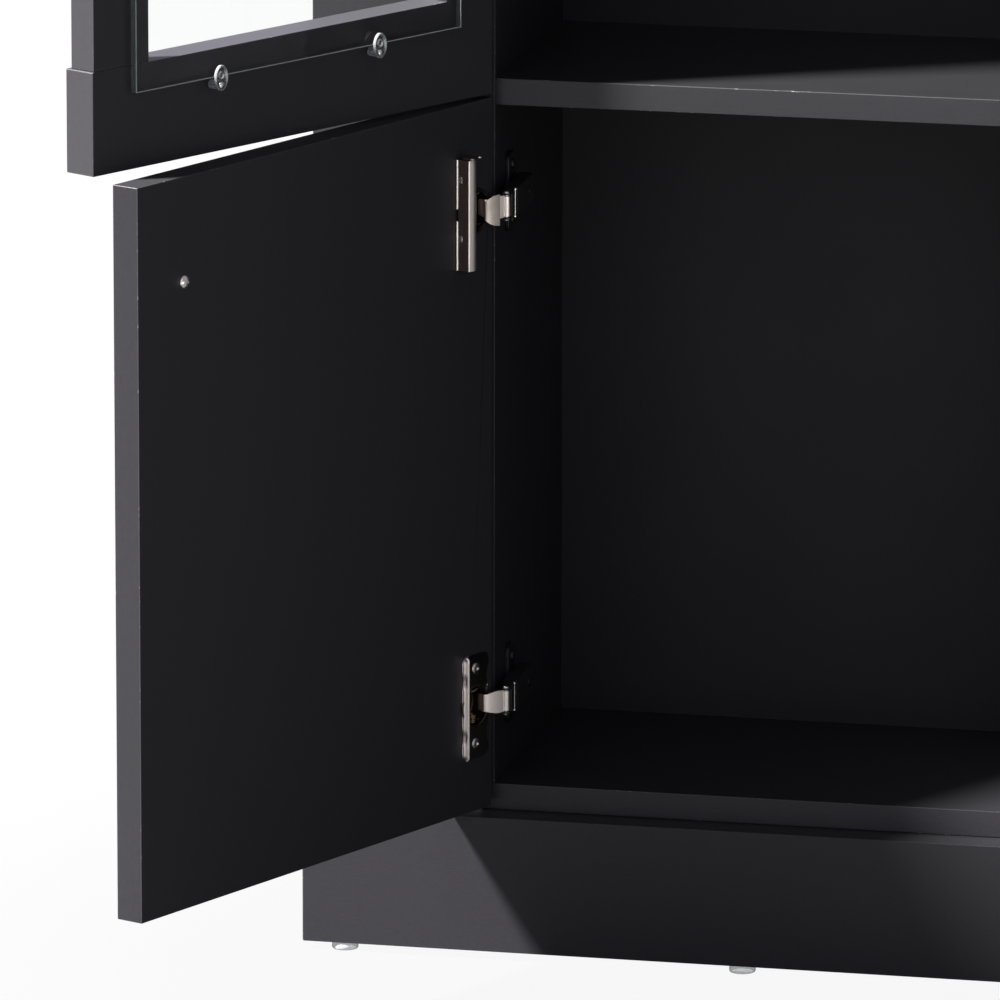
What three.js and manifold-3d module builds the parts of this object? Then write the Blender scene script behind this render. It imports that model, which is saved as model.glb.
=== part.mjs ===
// Narrow floor-standing display cabinet: a solid lower door and a glazed upper
// door, both hung on the left on concealed cup hinges, between two fixed
// pilasters, on a plinth with glides.
// Millimetres, +Z up. The front faces -Y, +X is to the right.
// Origin: centre of the front middle glide's underside, on the floor.
import * as THREE from 'three';
import { mergeVertices } from 'three/addons/utils/BufferGeometryUtils.js';
import Module from 'manifold-3d';

const wasm = await Module();
wasm.setup();

// ---------------------------------------------------------------- dimensions
const BOARD = 16;              // carcass board
const DOOR_T = 18;             // door board
const BACK_T = 4;              // back panel
const OPENING_W = 310;         // clear width between the partitions
const PILASTER_W = 95;         // pilaster, outside the partition
const DEPTH = 200;             // carcass, front plane to wall
const INNER_D = 190;           // front plane to back panel
const FRONT_Y = 13;            // carcass front plane
const GLIDE_H = 5;
const GLIDE_R = 8;
const PLINTH_H = 83;
const PLINTH_FRONT = -8;       // plinth's front face
const PLINTH_OVER = 2.5;       // plinth stands proud of the sides
const TOTAL_H = 1400;          // to the top panel's upper face
const SHELF_Z = 518.5;         // underside of the fixed middle shelf
const OVERLAY = 14;            // door over the partition's edge
const DOOR_GAP = 2;            // closed door to carcass front
const LOW_Z0 = 93, LOW_Z1 = 525;       // lower door
const UP_Z0 = 527.5, UP_Z1 = 1395;     // upper door
const DOOR_W = OPENING_W + 2 * OVERLAY;
const RAIL_H = 60.3;           // upper door's rails
const STILE_FREE = 45.4;       // upper door's stiles
const STILE_HINGE = 39.4;
const RAIL_PROUD = 3;          // rails stand proud of the stiles, outside
const GLASS_T = 4;
const GLASS_LAP = 15.6;
const LOW_OPEN = 114;          // degrees the doors stand open
const UP_OPEN = 119.5;
const GLASS_SHELF_Z = 955;
const UP_KNOB_U = DOOR_W - 21; // upper knob, its screw head clear of the partition

const HALF = OPENING_W / 2;
const PLINTH_TOP = GLIDE_H + PLINTH_H;
const BOT_TOP = PLINTH_TOP + BOARD;
const TOP_Z = TOTAL_H - BOARD;
const SIDE_X = HALF + BOARD + PILASTER_W;
const PLINTH_X = SIDE_X + PLINTH_OVER;
const BACK_Y = FRONT_Y + INNER_D;
const WALL_Y = FRONT_Y + DEPTH;

// hinge: the door turns about one line, beside the hinge edge, at mid thickness
const PIV_X = -HALF - 9.5;
const PIV_Y = FRONT_Y - 11;
const EDGE = 4.5;              // pivot to the door's hinge edge
// link pin on the arm, from the partition's front inner corner
const PIN_X = 9.05, PIN_Y = -8.97, PIN_R = 1.2;
const LINK_PER_DOOR = 35.65 / 114;     // link's turn for each degree of the door
const CUP_U = 17;              // cup centre from the hinge edge
const CUP_R = 12.7, CUP_BORE = 13.0, CUP_IN = 12.0, CUP_DEEP = 11.3, CUP_FLOOR = 10.3;
const LOW_HINGE_Z = [158, 459.6];
const UP_HINGE_Z = [637, 1285];

// ----------------------------------------------------------------- materials
const mat = (color, roughness, metalness = 0, extra = {}) =>
  new THREE.MeshStandardMaterial({ color, roughness, metalness, ...extra });
const BLACK = mat(0x232326, 0.62);
const EDGEB = mat(0x2a2a2d, 0.6);
const BACKM = mat(0x1b1b1e, 0.7);
const NICKEL = mat(0xb9b2a8, 0.22, 1);
const STEEL = mat(0x8c8a86, 0.35, 1);
const GLASS = mat(0xdfe9e6, 0.05, 0, { transparent: true, opacity: 0.3 });
const CLEAR = mat(0xe6e9ea, 0.12, 0, { transparent: true, opacity: 0.5 });
const GLIDEM = mat(0xc9c9c7, 0.5);

// ------------------------------------------------------------------- helpers
const root = new THREE.Group();
function add(name, geometry, material, parent = root) {
  const m = new THREE.Mesh(geometry, material);
  m.name = name;
  parent.add(m);
  return m;
}
const clean = (g) => {
  const c = g.clone();
  for (const k of Object.keys(c.attributes)) if (k !== 'position') c.deleteAttribute(k);
  return mergeVertices(c, 1e-4);
};
function solid(g) {
  const c = clean(g);
  return new wasm.Manifold(new wasm.Mesh({
    numProp: 3,
    vertProperties: new Float32Array(c.attributes.position.array),
    triVerts: new Uint32Array(c.index.array),
  }));
}
function toGeometry(m) {
  const r = m.getMesh();
  const g = new THREE.BufferGeometry();
  g.setAttribute('position', new THREE.BufferAttribute(new Float32Array(r.vertProperties), 3));
  g.setIndex(new THREE.BufferAttribute(new Uint32Array(r.triVerts), 1));
  g.computeVertexNormals();
  return g;
}
function block(x0, x1, y0, y1, z0, z1) {
  const g = new THREE.BoxGeometry(x1 - x0, y1 - y0, z1 - z0);
  g.translate((x0 + x1) / 2, (y0 + y1) / 2, (z0 + z1) / 2);
  return g;
}
// outline in X,Y extruded along Z
function prismZ(points, z0, z1) {
  const s = new THREE.Shape(points.map((p) => new THREE.Vector2(p[0], p[1])));
  const g = new THREE.ExtrudeGeometry(s, { depth: z1 - z0, bevelEnabled: false, curveSegments: 8 });
  g.translate(0, 0, z0);
  return g;
}
// outline in X,Z extruded along +Y
function prismY(points, y0, y1) {
  const s = new THREE.Shape(points.map((p) => new THREE.Vector2(p[0], p[1])));
  const g = new THREE.ExtrudeGeometry(s, { depth: y1 - y0, bevelEnabled: false, curveSegments: 8 });
  g.rotateX(Math.PI / 2);
  g.translate(0, y1, 0);
  return g;
}
// outline in Y,Z extruded along +X
function prismX(points, x0, x1) {
  const s = new THREE.Shape(points.map((p) => new THREE.Vector2(p[0], p[1])));
  const g = new THREE.ExtrudeGeometry(s, { depth: x1 - x0, bevelEnabled: false, curveSegments: 8 });
  g.rotateX(Math.PI / 2);
  g.rotateZ(Math.PI / 2);
  g.translate(x0, 0, 0);
  return g;
}
function cylZ(x, y, r, z0, z1, n = 24) {
  const g = new THREE.CylinderGeometry(r, r, z1 - z0, n);
  g.rotateX(Math.PI / 2);
  g.translate(x, y, (z0 + z1) / 2);
  return g;
}
function cylY(x, z, r, y0, y1, n = 24) {
  const g = new THREE.CylinderGeometry(r, r, y1 - y0, n);
  g.translate(x, (y0 + y1) / 2, z);
  return g;
}
function cylX(y, z, r, x0, x1, n = 24) {
  const g = new THREE.CylinderGeometry(r, r, x1 - x0, n);
  g.rotateZ(Math.PI / 2);
  g.translate((x0 + x1) / 2, y, z);
  return g;
}
// profile of radius and distance turned about a line along Y; distance grows towards -Y
function latheY(profile, x, y, z, n = 32) {
  const g = new THREE.LatheGeometry(profile.map((p) => new THREE.Vector2(p[0], p[1])), n);
  g.rotateX(Math.PI);
  g.translate(x, y, z);
  return g;
}

// ------------------------------------------------------------------- carcass
add('bottom_panel', block(-SIDE_X, SIDE_X, FRONT_Y, WALL_Y, PLINTH_TOP, BOT_TOP), BLACK);
add('top_panel', block(-SIDE_X, SIDE_X, FRONT_Y, WALL_Y, TOP_Z, TOTAL_H), BLACK);
add('middle_shelf', block(-HALF, HALF, FRONT_Y, BACK_Y, SHELF_Z, SHELF_Z + BOARD), BLACK);
add('back_panel', block(-SIDE_X + BOARD, SIDE_X - BOARD, BACK_Y, BACK_Y + BACK_T, BOT_TOP, TOP_Z), BACKM);

const PEG_Y = [45, 170], PEG_R = 2.5, PEG_Z = GLASS_SHELF_Z - PEG_R;
for (const s of [-1, 1]) {
  const side = s < 0 ? 'left' : 'right';
  const xs = (a, b) => [Math.min(s * a, s * b), Math.max(s * a, s * b)];
  add(`side_panel_${side}`, block(...xs(SIDE_X - BOARD, SIDE_X), FRONT_Y + BOARD, WALL_Y, BOT_TOP, TOP_Z), BLACK);
  add(`pilaster_${side}`, block(...xs(HALF + BOARD, SIDE_X), FRONT_Y, FRONT_Y + BOARD, BOT_TOP, TOP_Z), EDGEB);
  let p = solid(block(...xs(HALF, HALF + BOARD), FRONT_Y, BACK_Y, BOT_TOP, TOP_Z));
  for (const y of PEG_Y) p = p.subtract(solid(cylX(y, PEG_Z, PEG_R + 0.1, ...xs(HALF - 1, HALF + 8.5), 12)));
  add(`partition_${side}`, toGeometry(p), BLACK);
  PEG_Y.forEach((y, i) => {
    add(`shelf_peg_${side}_${i ? 'rear' : 'front'}`, cylX(y, PEG_Z, PEG_R, ...xs(HALF - 7, HALF + 8), 12), NICKEL);
  });
}
add('glass_shelf', block(-HALF + 1, HALF - 1, FRONT_Y + 16, BACK_Y - 4, GLASS_SHELF_Z, GLASS_SHELF_Z + 6), GLASS);

// -------------------------------------------------------------------- plinth
add('plinth_front', block(-PLINTH_X, PLINTH_X, PLINTH_FRONT, PLINTH_FRONT + BOARD, GLIDE_H, PLINTH_TOP), EDGEB);
add('plinth_left', block(-PLINTH_X, -PLINTH_X + BOARD, PLINTH_FRONT + BOARD, WALL_Y - 13, GLIDE_H, PLINTH_TOP), EDGEB);
add('plinth_right', block(PLINTH_X - BOARD, PLINTH_X, PLINTH_FRONT + BOARD, WALL_Y - 13, GLIDE_H, PLINTH_TOP), EDGEB);
add('plinth_rear', block(-PLINTH_X + BOARD, PLINTH_X - BOARD, WALL_Y - 13 - BOARD, WALL_Y - 13, GLIDE_H, PLINTH_TOP), EDGEB);
const glide = (name, x, y) => {
  const g = new THREE.LatheGeometry([[0, 0], [GLIDE_R - 0.8, 0], [GLIDE_R, 0.9], [GLIDE_R, 3.6], [GLIDE_R - 1.2, GLIDE_H], [0, GLIDE_H]]
    .map((p) => new THREE.Vector2(...p)), 16);
  g.rotateX(Math.PI / 2);
  g.translate(x, y, 0);
  add(name, g, GLIDEM);
};
const GX = PLINTH_X - 24.5, GY = WALL_Y - 13 - BOARD / 2;
glide('glide_front_middle', 0, 0);
glide('glide_front_left', -GX, 0);
glide('glide_front_right', GX, 0);
glide('glide_rear_left', -GX, GY);
glide('glide_rear_right', GX, GY);

// ------------------------------------------------------- wall fixing brackets
for (const s of [-1, 1]) {
  const x = s * 190;
  const profile = [[WALL_Y - 36, TOTAL_H], [WALL_Y, TOTAL_H], [WALL_Y, TOTAL_H + 32], [WALL_Y - 2, TOTAL_H + 32], [WALL_Y - 2, TOTAL_H + 2], [WALL_Y - 36, TOTAL_H + 2]];
  let b = solid(prismX(profile, x - 15, x + 15));
  b = b.subtract(solid(cylY(x, TOTAL_H + 22, 2.75, WALL_Y - 4, WALL_Y + 2, 24)));
  for (const d of [-8, 8]) b = b.subtract(solid(cylZ(x + d, WALL_Y - 24, 2.2, TOTAL_H - 1, TOTAL_H + 4, 20)));
  add(`wall_bracket_${s < 0 ? 'left' : 'right'}`, toGeometry(b), STEEL);
}

// -------------------------------------------------------------------- hinges
// fixed half: mounting plate and arm, from the partition's front inner corner
function hingeFixed(name, z) {
  const ox = -HALF, oy = FRONT_Y;
  let plate = solid(block(ox, ox + 3, oy + 27, oy + 46, z - 24, z + 24));
  plate = plate.add(solid(block(ox + 2, ox + 10.4, oy + 24, oy + 50, z - 6.2, z + 6.2)));
  add(`${name}_mounting_plate`, toGeometry(plate), STEEL);
  const outer = [[6.8, -10.2], [8.0, -11.4], [10.3, -11.4], [11.6, -10.2], [11.9, -6], [11.9, 50.5], [10.2, 53], [3.3, 53], [3.3, 9], [5.2, 3]];
  const inner = [[0, -12], [13, -12], [13, -6.2], [10.9, -6.2], [10.9, 55], [0, 55]];
  const at = (pts) => pts.map(([x, y]) => [x + ox, y + oy]);
  let arm = solid(prismZ(at(outer), z - 7.9, z + 7.9)).subtract(solid(prismZ(at(inner), z - 6.7, z + 6.7)));
  arm = arm.add(solid(cylZ(ox + PIN_X, oy + PIN_Y, PIN_R, z - 7.3, z + 7.3, 12)));
  add(`${name}_arm`, toGeometry(arm), NICKEL);
}
// link: curved plate from the arm's pin into the cup. Drawn for the door at
// 114 degrees, from the partition's front inner corner, then turned about its pin
const LINK_PATH = [[6.64, -11.85], [4.48, -14.22], [2.54, -16.08], [0.85, -17.44], [-0.61, -18.29], [-1.84, -18.63], [-2.83, -18.47], [-3.59, -17.8], [-4.11, -16.62]];
function linkGeometry(z, open) {
  const w = 0.7;
  const c = [[PIN_X - 1.4, PIN_Y - 1.4], ...LINK_PATH];
  const up = [], down = [];
  for (let i = 0; i < c.length; i++) {
    const a = c[Math.max(0, i - 1)], b = c[Math.min(c.length - 1, i + 1)];
    const l = Math.hypot(b[0] - a[0], b[1] - a[1]);
    const n = [-(b[1] - a[1]) / l, (b[0] - a[0]) / l];
    up.push([c[i][0] + n[0] * w, c[i][1] + n[1] * w]);
    down.push([c[i][0] - n[0] * w, c[i][1] - n[1] * w]);
  }
  // wide at the pin, narrow where it dips into the round bore
  const taper = [[14, 6.3], [1.2, 6.3], [-0.4, 4.1], [-8, 4], [-8, -4], [-0.4, -4.1], [1.2, -6.3], [14, -6.3]];
  const strip = solid(prismZ([...down, ...up.reverse()], -6.3, 6.3)).intersect(solid(prismY(taper, -40, 10)));
  let l = strip.add(solid(cylZ(PIN_X, PIN_Y, 2.2, -6.3, 6.3, 16)));
  l = l.subtract(solid(cylZ(PIN_X, PIN_Y, PIN_R + 0.3, -8, 8, 16)));
  const g = toGeometry(l);
  // into the closed pose, where it lies inside the cup's bore
  g.translate(-PIN_X, -PIN_Y, 0);
  g.rotateZ(THREE.MathUtils.degToRad(-114 * LINK_PER_DOOR));
  g.translate(PIN_X, PIN_Y, 0);
  const bore = solid(cylY(CUP_U - OVERLAY, 0, CUP_IN - 0.35, -40, 10, 28));
  const k = toGeometry(solid(g).intersect(bore));
  k.translate(-PIN_X, -PIN_Y, 0);
  k.rotateZ(THREE.MathUtils.degToRad(open * LINK_PER_DOOR));
  k.translate(PIN_X - HALF, PIN_Y + FRONT_Y, z);
  return k;
}
// cup half, in the closed door's frame: x from the pivot along the door,
// y from the pivot into the cabinet, inner face at DOOR_T / 2
const IN = DOOR_T / 2;
function cupGeometry(z) {
  const side = [[5, 32], [8.5, 31.4], [11.3, 29.2], [12.6, 26], [12.6, 20], [11.4, 17.4], [9.9, 15.6], [10.2, 13.4], [11.7, 11], [12.9, 7.5], [13.5, 3.5]];
  const right = [...side, [13.6, 0], ...side.map(([a, b]) => [a, -b]).reverse()];
  const pts = [...right, ...right.map(([a, b]) => [-a, b]).reverse()].map(([a, b]) => [a + CUP_U - EDGE, b + z]);
  let c = solid(prismY(pts, IN + 0.2, IN + 1.2));
  c = c.add(solid(cylY(CUP_U - EDGE, z, CUP_R, IN - CUP_DEEP, IN + 0.7, 28)));
  c = c.subtract(solid(cylY(CUP_U - EDGE, z, CUP_IN, IN - CUP_FLOOR, IN + 5, 28)));
  for (const d of [-23, 23]) c = c.subtract(solid(cylY(CUP_U - EDGE, z + d, 2.4, IN - 1, IN + 5, 14)));
  return toGeometry(c);
}
const hingeNames = { low: ['lower_door_hinge_bottom', 'lower_door_hinge_top'], up: ['upper_door_hinge_bottom', 'upper_door_hinge_top'] };
LOW_HINGE_Z.forEach((z, i) => {
  hingeFixed(hingeNames.low[i], z);
  add(`${hingeNames.low[i]}_link`, linkGeometry(z, LOW_OPEN), NICKEL);
});
UP_HINGE_Z.forEach((z, i) => {
  hingeFixed(hingeNames.up[i], z);
  add(`${hingeNames.up[i]}_link`, linkGeometry(z, UP_OPEN), NICKEL);
});

// --------------------------------------------------------------------- doors
function doorGroup(open) {
  const g = new THREE.Group();
  g.position.set(PIV_X, PIV_Y, 0);
  g.rotation.z = THREE.MathUtils.degToRad(-open);
  root.add(g);
  return g;
}
const U = (u) => u - EDGE;
const boreCups = (s, zs) => {
  for (const z of zs) s = s.subtract(solid(cylY(U(CUP_U), z, CUP_BORE, IN - 11.8, IN + 3, 28)));
  return s;
};
function knobSet(prefix, group, u, z, inner, outer) {
  const knob = solid(latheY([[0, 0], [7, 0], [7, 2], [5.2, 4], [5, 12], [8, 16], [11, 18], [12, 20.5], [11.4, 23], [9, 24.2], [0, 24.6]], U(u), outer - 0.3, z, 20))
    .subtract(solid(cylY(U(u), z, 2.35, outer - 13, outer + 1, 16)));
  add(`${prefix}_knob`, toGeometry(knob), NICKEL, group);
  // pan head on the inner face, shank through the door into the knob
  const screw = latheY([[0, -2.6], [1.9, -2.5], [3.3, -1.9], [4.1, -0.9], [4.2, -0.3], [2, -0.3], [2, inner - outer + 9], [1.4, inner - outer + 10], [0, inner - outer + 10]], U(u), inner, z, 16);
  add(`${prefix}_knob_screw`, screw, STEEL, group);
}

const low = doorGroup(LOW_OPEN);
let panel = boreCups(solid(block(U(0), U(DOOR_W), -IN, IN, LOW_Z0, LOW_Z1)), LOW_HINGE_Z);
panel = panel.subtract(solid(cylY(U(296), 464, 2.4, -IN - 2, IN + 2, 16)));
add('lower_door_panel', toGeometry(panel), BLACK, low);
LOW_HINGE_Z.forEach((z, i) => add(`${hingeNames.low[i]}_cup`, cupGeometry(z), NICKEL, low));
knobSet('lower_door', low, 296, 464, IN, -IN);
// soft-close damper over the top hinge's cup
{
  const a = U(26.9), b = U(35.4), h0 = IN + 1.5, h1 = IN + 10.2, r = 2.4, pts = [[a, h0], [b, h0]];
  for (let i = 0; i <= 3; i++) { const t = (i / 3) * Math.PI / 2; pts.push([b - r + r * Math.cos(t), h1 - r + r * Math.sin(t)]); }
  for (let i = 0; i <= 3; i++) { const t = Math.PI / 2 + (i / 3) * Math.PI / 2; pts.push([a + r + r * Math.cos(t), h1 - r + r * Math.sin(t)]); }
  const z = LOW_HINGE_Z[1];
  add('lower_door_damper', prismZ(pts, z - 34.3, z + 34.3), NICKEL, low);
}

const up = doorGroup(UP_OPEN);
const rail = (z0, z1) => block(U(0), U(DOOR_W + 0.5), -IN - RAIL_PROUD, IN, z0, z1);
add('upper_door_bottom_rail', rail(UP_Z0, UP_Z0 + RAIL_H), BLACK, up);
add('upper_door_top_rail', rail(UP_Z1 - RAIL_H, UP_Z1), BLACK, up);
const ST0 = UP_Z0 + RAIL_H + 0.3, ST1 = UP_Z1 - RAIL_H - 0.3;
add('upper_door_hinge_stile', toGeometry(boreCups(solid(block(U(0.6), U(STILE_HINGE), -IN, IN - 0.3, ST0, ST1)), UP_HINGE_Z)), BLACK, up);
{
  const st = solid(block(U(DOOR_W - 0.7 - STILE_FREE), U(DOOR_W - 0.7), -IN, IN - 0.3, ST0, ST1))
    .subtract(solid(cylY(U(UP_KNOB_U), 900, 2.4, -IN - 2, IN + 2, 16)));
  add('upper_door_free_stile', toGeometry(st), BLACK, up);
}
UP_HINGE_Z.forEach((z, i) => add(`${hingeNames.up[i]}_cup`, cupGeometry(z), NICKEL, up));
knobSet('upper_door', up, UP_KNOB_U, 900, IN - 0.3, -IN);
const GU0 = 31.6, GU1 = 307.2, GZ0 = UP_Z0 + RAIL_H - GLASS_LAP, GZ1 = UP_Z1 - RAIL_H + GLASS_LAP;
add('upper_door_glass', block(U(GU0), U(GU1), IN + 0.3, IN + 0.3 + GLASS_T, GZ0, GZ1), GLASS, up);
// retaining clip: boss beside the glass edge, disc over it
function clip(name, u, z, du, dz) {
  const disc = solid(cylY(U(u), z, 7.6, IN + GLASS_T + 0.6, IN + GLASS_T + 3.0, 20));
  const boss = solid(cylY(U(u) + du * 4.1, z + dz * 4.1, 3.3, IN + 0.3, IN + GLASS_T + 2, 14));
  add(name, toGeometry(disc.add(boss)), CLEAR, up);
}
clip('glass_clip_bottom_outer', 242, GZ0, 0, -1);
clip('glass_clip_bottom_inner', 107.4, GZ0, 0, -1);
clip('glass_clip_top_outer', 242, GZ1, 0, 1);
clip('glass_clip_top_inner', 107.4, GZ1, 0, 1);
clip('glass_clip_free_side', GU1, (GZ0 + GZ1) / 2, 1, 0);
clip('glass_clip_hinge_side', GU0, (GZ0 + GZ1) / 2, -1, 0);

export default root;
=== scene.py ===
import bpy, bmesh, math
from mathutils import Matrix, Vector


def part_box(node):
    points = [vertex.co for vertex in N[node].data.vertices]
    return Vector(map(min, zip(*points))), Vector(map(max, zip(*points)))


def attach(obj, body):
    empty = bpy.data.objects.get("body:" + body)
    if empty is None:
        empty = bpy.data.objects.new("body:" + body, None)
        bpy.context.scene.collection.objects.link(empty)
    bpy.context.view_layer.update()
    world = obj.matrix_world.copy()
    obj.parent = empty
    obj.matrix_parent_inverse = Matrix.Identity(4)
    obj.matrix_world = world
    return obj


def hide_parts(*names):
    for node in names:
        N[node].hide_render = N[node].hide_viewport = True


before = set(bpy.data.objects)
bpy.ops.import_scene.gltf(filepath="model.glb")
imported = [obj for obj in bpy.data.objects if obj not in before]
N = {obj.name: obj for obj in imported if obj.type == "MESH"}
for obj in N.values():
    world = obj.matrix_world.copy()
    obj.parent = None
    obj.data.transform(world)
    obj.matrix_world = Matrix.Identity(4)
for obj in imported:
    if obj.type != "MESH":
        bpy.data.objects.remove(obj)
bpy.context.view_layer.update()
SC = bpy.context.scene
SC.view_settings.view_transform = "Standard"
SC.view_settings.look = "None"

# --------------------------------------------------------------------- camera
def make_camera():
    yaw, pitch, roll = (math.radians(a) for a in (12.478, -13.059, 0.075))
    f = Vector((-math.sin(yaw) * math.cos(pitch), math.cos(yaw) * math.cos(pitch), math.sin(pitch)))
    r = Vector((math.cos(yaw), math.sin(yaw), 0.0))
    u = r.cross(f)
    right = math.cos(roll) * r + math.sin(roll) * u
    up = -math.sin(roll) * r + math.cos(roll) * u
    cam = bpy.data.cameras.new("camera")
    cam.sensor_fit = "HORIZONTAL"
    cam.sensor_width = 36.0
    cam.lens = 405.049
    cam.clip_start, cam.clip_end = 0.5, 300.0
    o = bpy.data.objects.new("camera", cam)
    SC.collection.objects.link(o)
    m = Matrix((right, up, -f)).transposed().to_4x4()
    m.translation = (1.260534, -6.369009, 1.794765)
    o.matrix_world = m
    SC.camera = o


make_camera()


# ---------------------------------------------------------------------- nodes
class Net:
    """A small helper that builds a node tree."""

    def __init__(self, name):
        self.m = bpy.data.materials.new(name)
        self.m.use_nodes = True
        self.t = self.m.node_tree
        self.t.nodes.clear()
        self.out = self.t.nodes.new("ShaderNodeOutputMaterial")

    def n(self, kind, **kw):
        x = self.t.nodes.new("ShaderNode" + kind)
        for k, v in kw.items():
            if k in x.bl_rna.properties:
                setattr(x, k, v)
            else:
                x.inputs[k.replace("_", " ")].default_value = v
        return x

    def l(self, a, b):
        self.t.links.new(a, b)

    def coords(self, scale=(1, 1, 1), rot=(0, 0, 0)):
        tc = self.n("TexCoord")
        mp = self.n("Mapping")
        mp.inputs["Scale"].default_value = scale
        mp.inputs["Rotation"].default_value = rot
        self.l(tc.outputs["Object"], mp.inputs["Vector"])
        return mp.outputs["Vector"]

    def noise(self, vec, scale, detail=2.0, rough=0.5):
        x = self.n("TexNoise")
        x.inputs["Scale"].default_value = scale
        x.inputs["Detail"].default_value = detail
        x.inputs["Roughness"].default_value = rough
        self.l(vec, x.inputs["Vector"])
        return x.outputs["Fac"]

    def ramp(self, fac, stops):
        x = self.n("ValToRGB")
        e = x.color_ramp.elements
        while len(e) < len(stops):
            e.new(0.5)
        for i, (p, c) in enumerate(stops):
            e[i].position = p
            e[i].color = (c[0], c[1], c[2], 1.0) if isinstance(c, (tuple, list)) else (c, c, c, 1.0)
        self.l(fac, x.inputs["Fac"])
        return x.outputs["Color"]

    def rng(self, fac, a, b, c, d):
        x = self.n("MapRange")
        x.clamp = True
        for k, v in zip(("From Min", "From Max", "To Min", "To Max"), (a, b, c, d)):
            x.inputs[k].default_value = v
        self.l(fac, x.inputs["Value"])
        return x.outputs["Result"]

    def math(self, op, a, b=None):
        x = self.n("Math", operation=op)
        for i, v in enumerate((a, b)):
            if v is None:
                continue
            if isinstance(v, (int, float)):
                x.inputs[i].default_value = v
            else:
                self.l(v, x.inputs[i])
        return x.outputs[0]

    def mix(self, fac, a, b):
        x = self.n("Mix", data_type="RGBA")
        for s, v in ((0, fac), (6, a), (7, b)):
            if isinstance(v, (int, float)):
                x.inputs[s].default_value = v
            elif isinstance(v, (tuple, list)):
                x.inputs[s].default_value = (*v[:3], 1.0)
            else:
                self.l(v, x.inputs[s])
        return x.outputs[2]

    def bump(self, height, strength, distance, prev=None):
        x = self.n("Bump")
        x.inputs["Strength"].default_value = strength
        x.inputs["Distance"].default_value = distance
        self.l(height, x.inputs["Height"])
        if prev is not None:
            self.l(prev, x.inputs["Normal"])
        return x.outputs["Normal"]

    def principled(self, **kw):
        p = self.n("BsdfPrincipled")
        for k, v in kw.items():
            s = p.inputs[k.replace("_", " ")]
            if isinstance(v, (int, float, tuple)):
                s.default_value = (*v, 1.0) if isinstance(v, tuple) and len(v) == 3 and s.type == "RGBA" else v
            else:
                self.l(v, s)
        self.l(p.outputs[0], self.out.inputs["Surface"])
        return p


# ------------------------------------------------------------------ materials
def foil(name, grain, base=0.0165, rough=0.47, spec=0.42, worn=False):
    """Matt black foil on board: fine pores along the grain, faint mottling, and paler chips on worn edges."""
    k = Net(name)
    fine, long_ = 2600.0, 260.0
    sc = {"Z": (fine, fine, long_), "X": (long_, fine, fine), "Y": (fine, long_, fine)}[grain]
    v = k.coords(sc)
    pores = k.noise(v, 1.0, 2.0, 0.6)
    w = k.coords((1, 1, 1))
    speck = k.noise(w, 1900.0, 2.0, 0.55)
    cloud = k.noise(w, 7.0, 3.0, 0.55)
    tone = k.math("ADD", k.math("MULTIPLY", pores, 0.55), k.math("MULTIPLY", speck, 0.45))
    b = base
    dark = (b * 0.81, b * 0.775, b * 0.91)
    lite = (b * 1.31, b * 1.26, b * 1.46)
    col = k.mix(k.rng(tone, 0.36, 0.66, 0.0, 1.0), dark, lite)
    col = k.mix(k.rng(cloud, 0.3, 0.7, 0.0, 0.30), col, (b * 0.86, b * 0.86, b * 0.90))
    rg = k.rng(k.math("ADD", k.math("MULTIPLY", cloud, 0.6), k.math("MULTIPLY", speck, 0.4)), 0.3, 0.7, rough - 0.05, rough + 0.06)
    if worn:
        e = k.noise(k.coords((1, 1, 1)), 420.0, 3.0, 0.65)
        f = k.noise(k.coords((1, 1, 1)), 38.0, 2.0, 0.5)
        chip = k.math("MULTIPLY", k.rng(e, 0.60, 0.66, 0.0, 1.0), k.rng(f, 0.46, 0.60, 0.0, 1.0))
        col = k.mix(chip, k.mix(0.5, col, (b * 1.7, b * 1.7, b * 1.8)), (0.20, 0.19, 0.18))
    bm = k.bump(pores, 0.22, 0.00006)
    bm = k.bump(speck, 0.16, 0.00005, bm)
    k.principled(Base_Color=col, Roughness=rg, Specular_IOR_Level=spec, Normal=bm)
    return k.m


def metal(name, base, rough, spread=0.06, brush=None, tint=None, dirt=0.25):
    """Plated or turned steel: tone and gloss vary a little, with faint drawing lines where it is brushed."""
    k = Net(name)
    w = k.coords((1, 1, 1))
    cloud = k.noise(w, 95.0, 3.0, 0.6)
    grain = k.noise(k.coords(brush) if brush else w, 1.0 if brush else 2400.0, 2.0, 0.6)
    warm = tint or (base[0] * 0.86, base[1] * 0.80, base[2] * 0.72)
    col = k.mix(k.rng(cloud, 0.35, 0.75, 0.0, 1.0 if tint else dirt), base, warm)
    rg = k.rng(k.math("ADD", k.math("MULTIPLY", cloud, 0.5), k.math("MULTIPLY", grain, 0.5)), 0.3, 0.7, rough - spread, rough + spread)
    bm = k.bump(grain, 0.03, 0.00002)
    k.principled(Base_Color=col, Metallic=1.0, Roughness=rg, Normal=bm)
    return k.m


def plastic(name, base, rough, speck=0.06, trans=0.0, ior=1.46):
    k = Net(name)
    w = k.coords((1, 1, 1))
    a = k.noise(w, 900.0, 2.0, 0.5)
    c = k.noise(w, 60.0, 2.0, 0.5)
    col = k.mix(k.rng(c, 0.3, 0.7, 0.0, 1.0), tuple(x * (1 - speck) for x in base), tuple(min(1, x * (1 + speck)) for x in base))
    k.principled(Base_Color=col, Roughness=k.rng(a, 0.3, 0.7, rough * 0.85, rough * 1.2), Transmission_Weight=trans, IOR=ior, Normal=k.bump(a, 0.08, 0.00003))
    return k.m


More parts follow.
